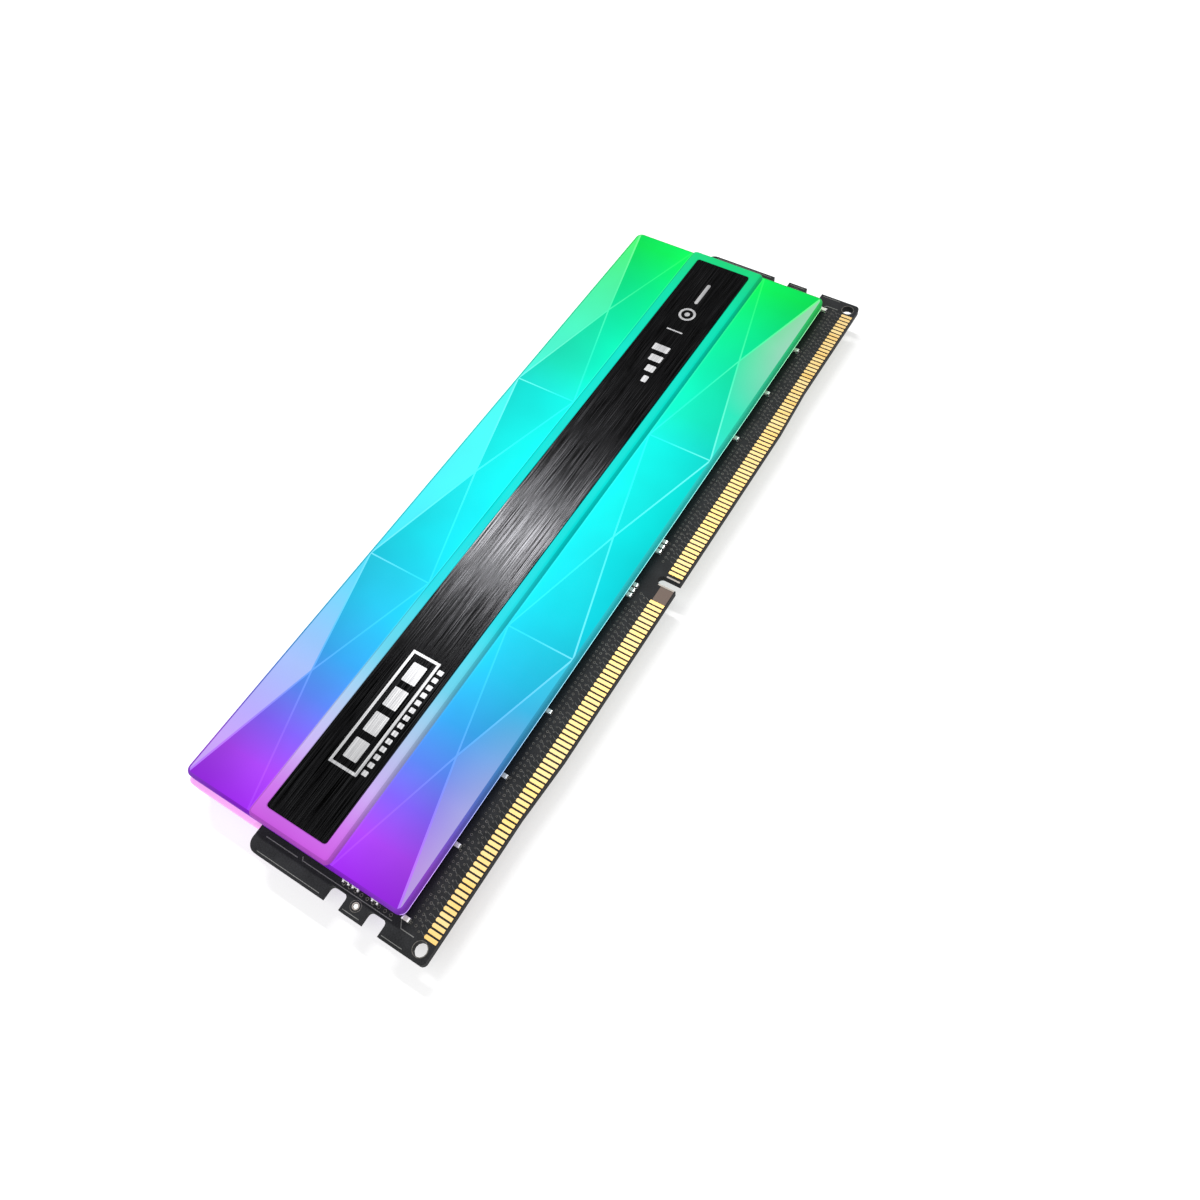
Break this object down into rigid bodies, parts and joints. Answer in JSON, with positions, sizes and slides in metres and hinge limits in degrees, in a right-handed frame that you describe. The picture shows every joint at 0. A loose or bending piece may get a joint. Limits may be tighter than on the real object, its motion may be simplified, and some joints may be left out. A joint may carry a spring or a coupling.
{
  "type": "memory module",
  "caption": "Desktop memory module: black circuit board with gold edge contacts between two faceted, colour-lit light guides with black brushed trim strips.",
  "frame": {"origin": "middle of the underside, as the module lies on its back", "axes": "+X along the length, to the end nearer the key slot; +Y from the contact edge to the lit top edge; +Z out of the front face"},
  "size_m": [0.1334, 0.045, 0.008],
  "materials": {
    "circuit_board": "black solder mask over glass-epoxy laminate, slightly satin",
    "contact_gold": "hard gold plate, satin",
    "chip_black": "moulded epoxy package, matte",
    "inductor_grey": "pressed iron powder, matte",
    "chip_part_ceramic": "fired ceramic with tinned ends",
    "led_white": "white moulded frame with a clear window, lit",
    "thermal_pad": "soft filled silicone, dull",
    "spreader_aluminium": "plain rolled sheet, satin",
    "light_guide": "frosted translucent acrylic, lit from inside, violet through cyan to green",
    "light_core": "milky diffuser acrylic, lit",
    "trim_black": "black anodised, brushed along its length"
  },
  "bodies": {
    "root": {"circuit_board": "circuit_board", "contacts_front_left": "contact_gold", "contacts_front_right": "contact_gold", "contacts_back_left": "contact_gold", "contacts_back_right": "contact_gold", "dram_chip_1": "chip_black", "dram_chip_2": "chip_black", "dram_chip_3": "chip_black", "dram_chip_4": "chip_black", "dram_chip_5": "chip_black", "dram_chip_6": "chip_black", "dram_chip_7": "chip_black", "dram_chip_8": "chip_black", "power_management_chip": "chip_black", "spd_hub_chip": "chip_black", "led_controller_chip": "chip_black", "power_inductor_1": "inductor_grey", "power_inductor_2": "inductor_grey", "power_inductor_3": "inductor_grey", "edge_capacitor_1": "chip_part_ceramic", "edge_capacitor_2": "chip_part_ceramic", "edge_capacitor_3": "chip_part_ceramic", "edge_capacitor_4": "chip_part_ceramic", "edge_capacitor_5": "chip_part_ceramic", "edge_capacitor_6": "chip_part_ceramic", "edge_capacitor_7": "chip_part_ceramic", "edge_capacitor_8": "chip_part_ceramic", "middle_resistor_1": "chip_part_ceramic", "middle_resistor_2": "chip_part_ceramic", "middle_resistor_3": "chip_part_ceramic", "middle_resistor_4": "chip_part_ceramic", "middle_resistor_5": "chip_part_ceramic", "middle_resistor_6": "chip_part_ceramic", "end_resistor_1": "chip_part_ceramic", "end_resistor_2": "chip_part_ceramic", "end_resistor_3": "chip_part_ceramic", "rgb_led_front_1": "led_white", "rgb_led_front_2": "led_white", "rgb_led_front_3": "led_white", "rgb_led_front_4": "led_white", "rgb_led_front_5": "led_white", "rgb_led_back_1": "led_white", "rgb_led_back_2": "led_white", "rgb_led_back_3": "led_white", "rgb_led_back_4": "led_white", "rgb_led_back_5": "led_white", "thermal_pad_front_left": "thermal_pad", "thermal_pad_front_right": "thermal_pad", "thermal_pad_back_left": "thermal_pad", "thermal_pad_back_right": "thermal_pad", "thermal_pad_power": "thermal_pad", "heat_spreader_front": "spreader_aluminium", "heat_spreader_back": "spreader_aluminium", "light_guide_front": "light_guide", "light_guide_back": "light_guide", "light_core": "light_core", "trim_strip_front": "trim_black", "trim_strip_back": "trim_black"}
  },
  "joints": []
}
